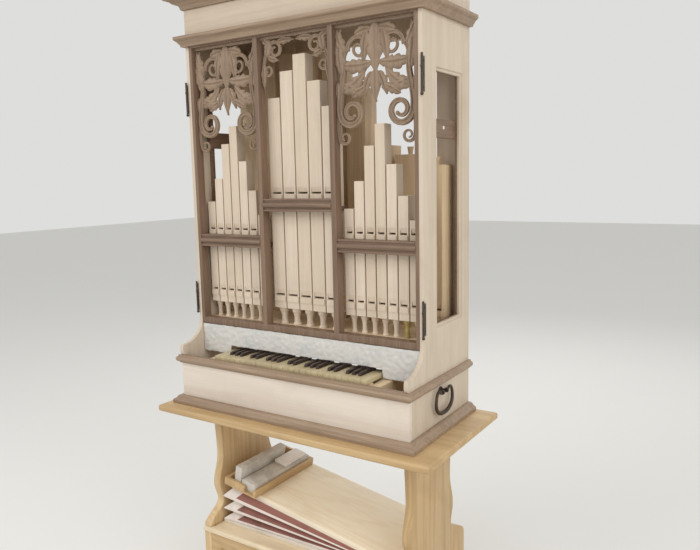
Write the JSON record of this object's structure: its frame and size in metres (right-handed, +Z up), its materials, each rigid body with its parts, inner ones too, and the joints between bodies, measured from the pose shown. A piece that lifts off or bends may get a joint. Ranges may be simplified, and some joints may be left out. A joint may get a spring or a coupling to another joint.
{
  "type": "pipe organ",
  "caption": "Small positive pipe organ with pierced carved screens and short keyboard, on a wooden stand with wedge bellows and weight tray; doors missing, hinges left",
  "frame": {"origin": "on the floor under the middle of the whole outline", "axes": "+Z up, the front with keys and pipes towards -Y, the handles' sides towards -X and +X"},
  "size_m": [1.095, 0.518, 2.205],
  "materials": {
    "pine": "satin",
    "leather": "matte",
    "tray_wood": "satin",
    "weights": "rough",
    "walnut": "satin",
    "maple": "satin",
    "inside_wood": "satin",
    "boxwood": "satin",
    "ebony": "satin",
    "painted_board": "satin",
    "pipe_wood": "satin",
    "carved_walnut": "satin",
    "black_iron": "satin"
  },
  "bodies": {
    "organ": {"stand_top": "pine", "stand_end_left": "pine", "stand_end_right": "pine", "stand_box_front": "pine", "stand_box_back": "pine", "stand_box_lid": "pine", "bellows_folds": "leather", "bellows_bottom_board": "leather", "base_moulding": "walnut", "key_moulding": "walnut", "architrave": "walnut", "cornice": "walnut", "front_frame": "walnut", "cross_rails": "walnut", "toe_boards": "walnut", "inner_rails": "walnut", "base_front_board": "maple", "case_side_left": "maple", "case_side_right": "maple", "frieze": "maple", "key_bed": "inside_wood", "key_rails": "inside_wood", "case_floor": "inside_wood", "back_frame": "inside_wood", "case_top": "inside_wood", "wind_chest": "inside_wood", "rear_pipes": "inside_wood", "natural_keys": "boxwood", "sharp_keys": "ebony", "nameboard": "painted_board", "upper_pipes_left": "pipe_wood", "upper_pipes_centre": "pipe_wood", "upper_pipes_right": "pipe_wood", "lower_pipes_left": "pipe_wood", "lower_pipes_centre": "pipe_wood", "lower_pipes_right": "pipe_wood", "screen_left": "carved_walnut", "screen_centre": "carved_walnut", "screen_right": "carved_walnut", "door_hinges": "black_iron", "handle_eyes": "black_iron"},
    "bellows_top": {"bellows_top_board": "pine", "weight_tray": "tray_wood", "bellows_weights": "weights"},
    "handle_l": {"handle_left": "black_iron"},
    "handle_r": {"handle_right": "black_iron"}
  },
  "joints": [
    {"name": "bellows_hinge", "type": "hinge", "parent": "organ", "child": "bellows_top", "pos_m": [0.3625, 0, 0.326], "axis": [0, 1, 0], "range_deg": [-6.8, 0], "deforming": ["bellows_folds"]},
    {"name": "handle_left_swing", "type": "hinge", "parent": "organ", "child": "handle_l", "pos_m": [-0.4895, 0.019, 0.888], "axis": [0, 1, 0], "range_deg": [0, 85]},
    {"name": "handle_right_swing", "type": "hinge", "parent": "organ", "child": "handle_r", "pos_m": [0.4645, 0.019, 0.888], "axis": [0, -1, 0], "range_deg": [0, 85]}
  ]
}
